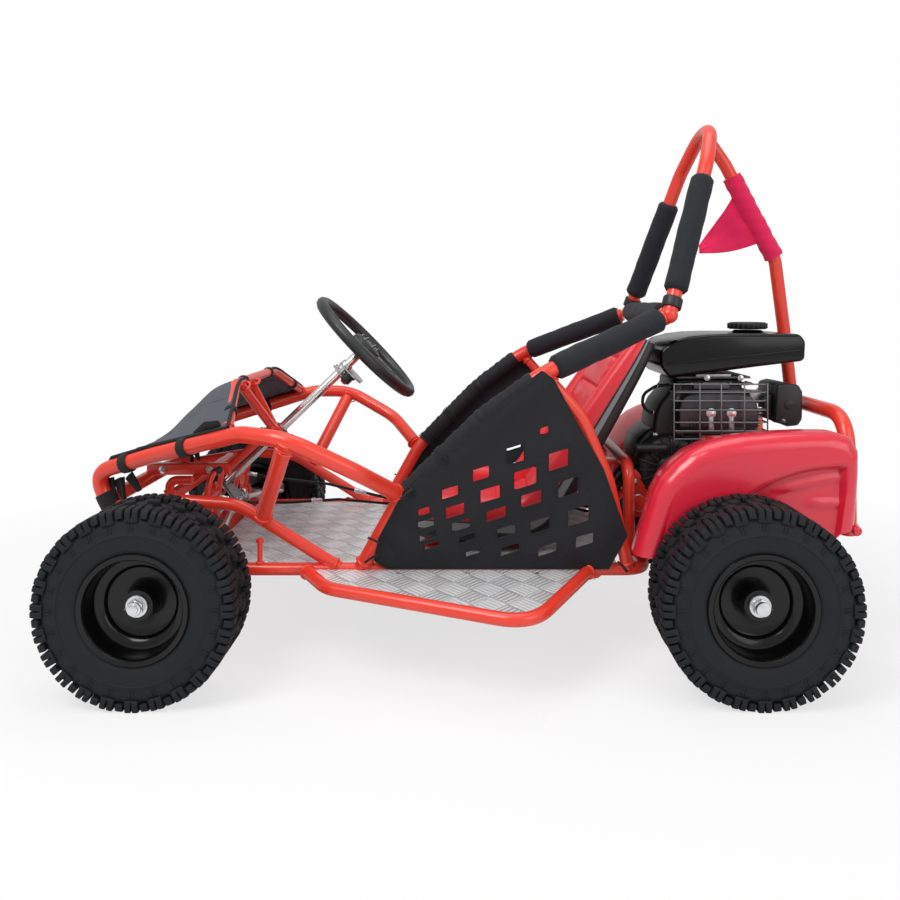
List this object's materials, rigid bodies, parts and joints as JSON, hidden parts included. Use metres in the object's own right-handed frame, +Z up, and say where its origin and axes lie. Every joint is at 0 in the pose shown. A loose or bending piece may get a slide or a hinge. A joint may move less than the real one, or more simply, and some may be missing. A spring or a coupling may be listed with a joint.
{
  "type": "off road go kart",
  "caption": "Single seat off road kart with tubular frame, roll hoop, side nets, knobbly tyres, rear engine and chain drive.",
  "frame": {"origin": "on the ground, under the middle of the kart's bounding box", "axes": "+X forward, +Y to the driver's left, +Z up"},
  "size_m": [1.3584, 0.9234, 0.9906],
  "materials": {
    "frame_paint": "gloss powder coat",
    "checker_plate": "raised checker pattern",
    "fender_plastic": "satin moulded",
    "seat_border": "black vinyl",
    "seat_centre": "red vinyl",
    "foam": "black foam sleeve",
    "net": "black coated mesh",
    "cover": "dark grey woven",
    "flag_cloth": "crimson woven",
    "chrome": "polished",
    "grip": "dark grey grip",
    "stop_button": "red",
    "zinc": "zinc plated",
    "dark_steel": "oiled",
    "caliper": "cast",
    "wheel_paint": "gloss black",
    "tyre": "knobbly",
    "engine_cast": "black cast",
    "tank_paint": "gloss black",
    "muffler_steel": "dark heat proof",
    "black_plastic": "moulded",
    "cable": "sheathed"
  },
  "bodies": {
    "chassis": {"floor_frame": "frame_paint", "side_frame_left": "frame_paint", "side_frame_right": "frame_paint", "side_hoop_left": "frame_paint", "side_hoop_right": "frame_paint", "roll_hoop": "frame_paint", "dash_hoop": "frame_paint", "front_subframe": "frame_paint", "rear_bumper": "frame_paint", "side_bar_left": "frame_paint", "side_bar_right": "frame_paint", "step_plate_left": "checker_plate", "step_plate_right": "checker_plate", "floor_plate": "checker_plate", "fender_left": "fender_plastic", "fender_right": "fender_plastic", "seat_shell": "seat_border", "seat_cushion": "seat_centre", "side_pad_left": "foam", "side_pad_right": "foam", "hoop_pad_left": "foam", "hoop_pad_right": "foam", "cross_pad": "foam", "side_net_left": "net", "side_net_right": "net", "nose_cover": "cover", "flag": "flag_cloth", "drive_chain": "dark_steel", "brake_caliper": "caliper", "engine_block": "engine_cast", "fuel_tank": "tank_paint", "recoil_cover": "tank_paint", "muffler": "muffler_steel", "air_filter": "black_plastic", "throttle_cable": "cable", "brake_cable": "cable"},
    "steering": {"steering_column": "chrome", "steering_wheel": "grip"},
    "stop_button": {"kill_switch": "stop_button"},
    "spindle_left": {"spindle_left": "dark_steel"},
    "spindle_right": {"spindle_right": "dark_steel"},
    "tie_rod_left": {"tie_rod_left": "zinc"},
    "tie_rod_right": {"tie_rod_right": "zinc"},
    "front_wheel_left": {"front_rim_left": "wheel_paint", "front_tyre_left": "tyre"},
    "front_wheel_right": {"front_rim_right": "wheel_paint", "front_tyre_right": "tyre"},
    "rear_axle": {"rear_axle": "zinc", "rear_rim_left": "wheel_paint", "rear_rim_right": "wheel_paint", "rear_tyre_left": "tyre", "rear_tyre_right": "tyre", "axle_sprocket": "dark_steel", "brake_disc": "zinc"},
    "clutch": {"clutch_sprocket": "dark_steel"},
    "throttle_pedal": {"throttle_pedal": "frame_paint"},
    "brake_pedal": {"brake_pedal": "frame_paint"},
    "brake_lever": {"brake_lever": "zinc"},
    "fuel_cap": {"fuel_cap": "black_plastic"},
    "starter_grip": {"starter_grip": "black_plastic"}
  },
  "joints": [
    {"name": "steer", "type": "hinge", "parent": "chassis", "child": "steering", "pos_m": [0.21269, 0, 0.541], "axis": [-0.7193, 0, 0.6947], "range_deg": [-35, 35]},
    {"name": "spindle_left_turn", "type": "hinge", "parent": "chassis", "child": "spindle_left", "pos_m": [0.52319, 0.283, 0.15605], "axis": [0, 0, 1], "range_deg": [-20, 20]},
    {"name": "spindle_right_turn", "type": "hinge", "parent": "chassis", "child": "spindle_right", "pos_m": [0.52319, -0.283, 0.15605], "axis": [0, 0, 1], "range_deg": [-20, 20]},
    {"name": "tie_rod_left_turn", "type": "hinge", "parent": "spindle_left", "child": "tie_rod_left", "pos_m": [0.44772, 0.283, 0.198], "axis": [0, 0, 1], "range_deg": [-20, 20]},
    {"name": "tie_rod_right_turn", "type": "hinge", "parent": "spindle_right", "child": "tie_rod_right", "pos_m": [0.44772, -0.283, 0.198], "axis": [0, 0, 1], "range_deg": [-20, 20]},
    {"name": "front_wheel_left_spin", "type": "hinge", "parent": "spindle_left", "child": "front_wheel_left", "pos_m": [0.52319, 0.395, 0.15605], "axis": [0, 1, 0], "continuous": true},
    {"name": "front_wheel_right_spin", "type": "hinge", "parent": "spindle_right", "child": "front_wheel_right", "pos_m": [0.52319, -0.395, 0.15605], "axis": [0, 1, 0], "continuous": true},
    {"name": "rear_axle_spin", "type": "hinge", "parent": "chassis", "child": "rear_axle", "pos_m": [-0.45181, 0, 0.15605], "axis": [0, 1, 0], "continuous": true},
    {"name": "clutch_spin", "type": "hinge", "parent": "chassis", "child": "clutch", "pos_m": [-0.37931, -0.08, 0.315], "axis": [0, 1, 0], "continuous": true},
    {"name": "throttle_press", "type": "hinge", "parent": "chassis", "child": "throttle_pedal", "pos_m": [0.50169, -0.116, 0.214], "axis": [0, 1, 0], "range_deg": [0, 20], "stiffness_Nm_per_rad": 4, "springref_deg": -5.73},
    {"name": "brake_press", "type": "hinge", "parent": "chassis", "child": "brake_pedal", "pos_m": [0.50169, 0.116, 0.214], "axis": [0, 1, 0], "range_deg": [0, 20], "stiffness_Nm_per_rad": 6, "springref_deg": -5.73},
    {"name": "brake_lever_swing", "type": "hinge", "parent": "chassis", "child": "brake_lever", "pos_m": [-0.52181, 0.046, 0.15605], "axis": [0, 1, 0], "range_deg": [0, 20]},
    {"name": "fuel_cap_turn", "type": "hinge", "parent": "chassis", "child": "fuel_cap", "pos_m": [-0.55331, 0.04, 0.585], "axis": [0, 0, 1], "range_deg": [0, 90]},
    {"name": "starter_pull", "type": "slide", "parent": "chassis", "child": "starter_grip", "axis": [0, 0.766, 0.6428], "range_m": [0, 0.25], "stiffness_N_per_m": 40, "springref_m": -0.1},
    {"name": "stop_press", "type": "slide", "parent": "steering", "child": "stop_button", "axis": [0.7193, 0, -0.6947], "range_m": [0, 0.003], "stiffness_N_per_m": 400, "springref_m": -0.001}
  ],
  "couplings": [
    {"joint": "spindle_left_turn", "follows": "steer", "ratio": 0.57143},
    {"joint": "spindle_right_turn", "follows": "steer", "ratio": 0.57143},
    {"joint": "tie_rod_left_turn", "follows": "steer", "ratio": -0.57143},
    {"joint": "tie_rod_right_turn", "follows": "steer", "ratio": -0.57143},
    {"joint": "clutch_spin", "follows": "rear_axle_spin", "ratio": 5},
    {"joint": "brake_lever_swing", "follows": "brake_press", "ratio": 1}
  ]
}
